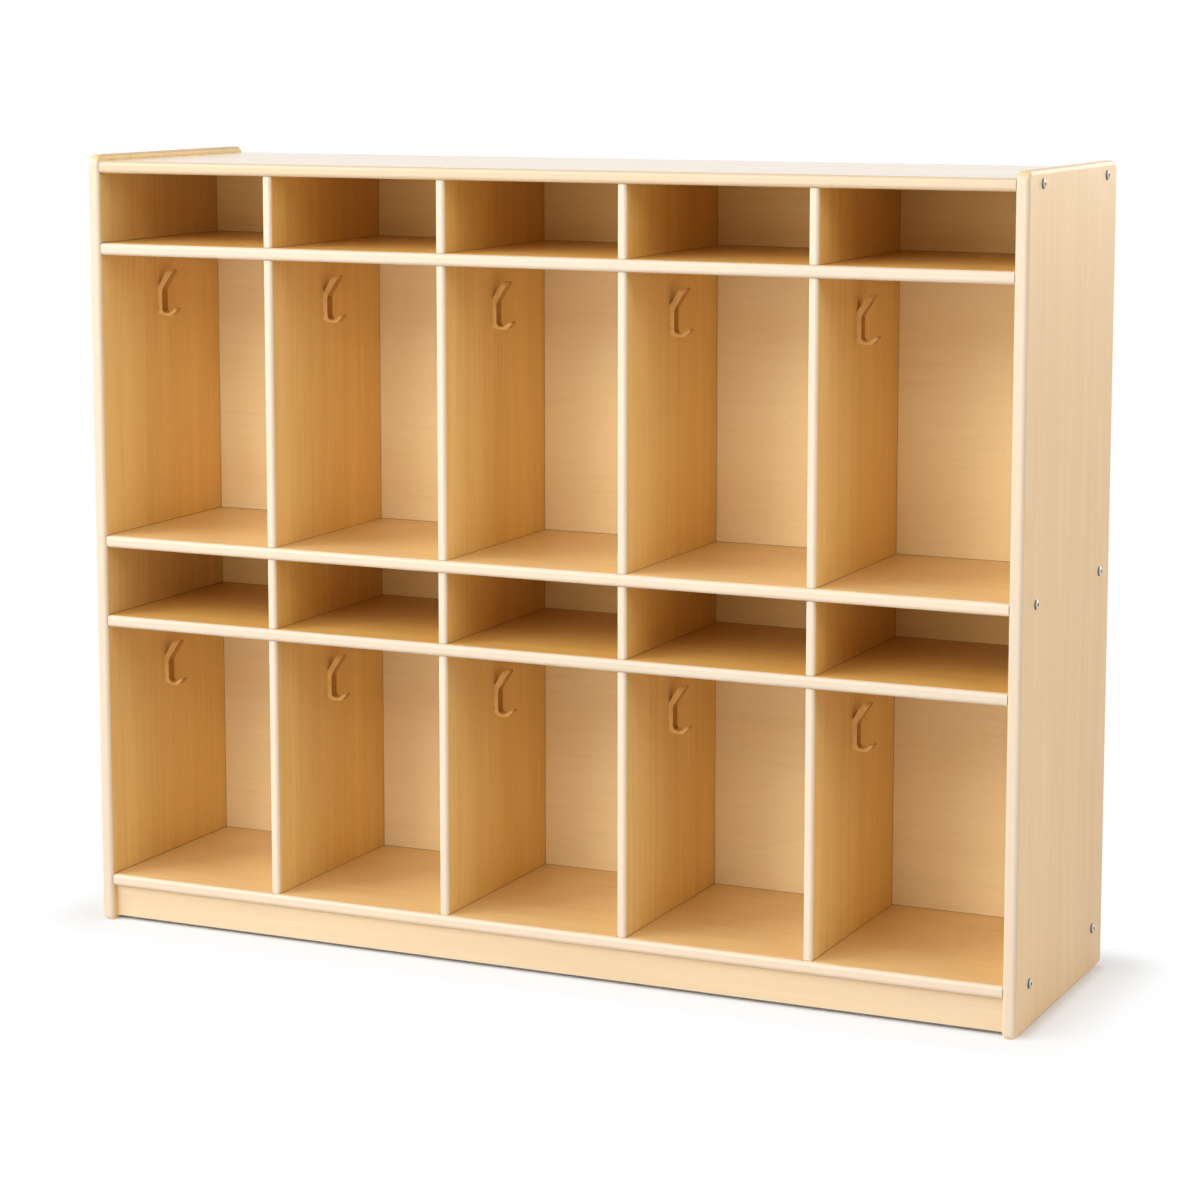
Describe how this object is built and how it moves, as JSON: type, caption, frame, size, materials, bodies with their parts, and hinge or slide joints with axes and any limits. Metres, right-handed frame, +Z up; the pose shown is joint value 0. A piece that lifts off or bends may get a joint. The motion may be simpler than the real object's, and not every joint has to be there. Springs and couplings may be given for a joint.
{
  "type": "open coat locker unit",
  "caption": "Low free-standing open locker unit with small cubbies over coat lockers in two tiers, and a double coat hook in each locker.",
  "frame": {"origin": "on the floor, below the middle of the unit", "axes": "+Z up, +X along the width to the right as seen from the front, the open front faces -Y"},
  "size_m": [1.2256, 0.35, 0.98],
  "materials": {
    "maple_board": "satin lacquer",
    "maple_back": "satin lacquer",
    "hook_plastic": "moulded satin",
    "bolt_steel": "bright zinc",
    "nut_steel": "zinc",
    "screw_steel": "zinc",
    "dowel_beech": "bare"
  },
  "bodies": {
    "root": {"left_side_panel": "maple_board", "right_side_panel": "maple_board", "top_panel": "maple_board", "upper_cubby_shelf": "maple_board", "middle_shelf": "maple_board", "lower_cubby_shelf": "maple_board", "bottom_panel": "maple_board", "kick_board": "maple_board", "lower_locker_divider_1": "maple_board", "lower_locker_divider_2": "maple_board", "lower_locker_divider_3": "maple_board", "lower_locker_divider_4": "maple_board", "lower_cubby_divider_1": "maple_board", "lower_cubby_divider_2": "maple_board", "lower_cubby_divider_3": "maple_board", "lower_cubby_divider_4": "maple_board", "upper_locker_divider_1": "maple_board", "upper_locker_divider_2": "maple_board", "upper_locker_divider_3": "maple_board", "upper_locker_divider_4": "maple_board", "upper_cubby_divider_1": "maple_board", "upper_cubby_divider_2": "maple_board", "upper_cubby_divider_3": "maple_board", "upper_cubby_divider_4": "maple_board", "lower_back_panel": "maple_back", "upper_back_panel": "maple_back", "lower_coat_hook_1": "hook_plastic", "lower_coat_hook_2": "hook_plastic", "lower_coat_hook_3": "hook_plastic", "lower_coat_hook_4": "hook_plastic", "lower_coat_hook_5": "hook_plastic", "upper_coat_hook_1": "hook_plastic", "upper_coat_hook_2": "hook_plastic", "upper_coat_hook_3": "hook_plastic", "upper_coat_hook_4": "hook_plastic", "upper_coat_hook_5": "hook_plastic", "side_connector_bolts": "bolt_steel", "bolt_barrel_nuts": "nut_steel", "coat_hook_screws": "screw_steel", "back_panel_screws": "screw_steel", "shelf_end_dowels": "dowel_beech", "divider_dowels": "dowel_beech", "kick_board_dowels": "dowel_beech"}
  },
  "joints": []
}
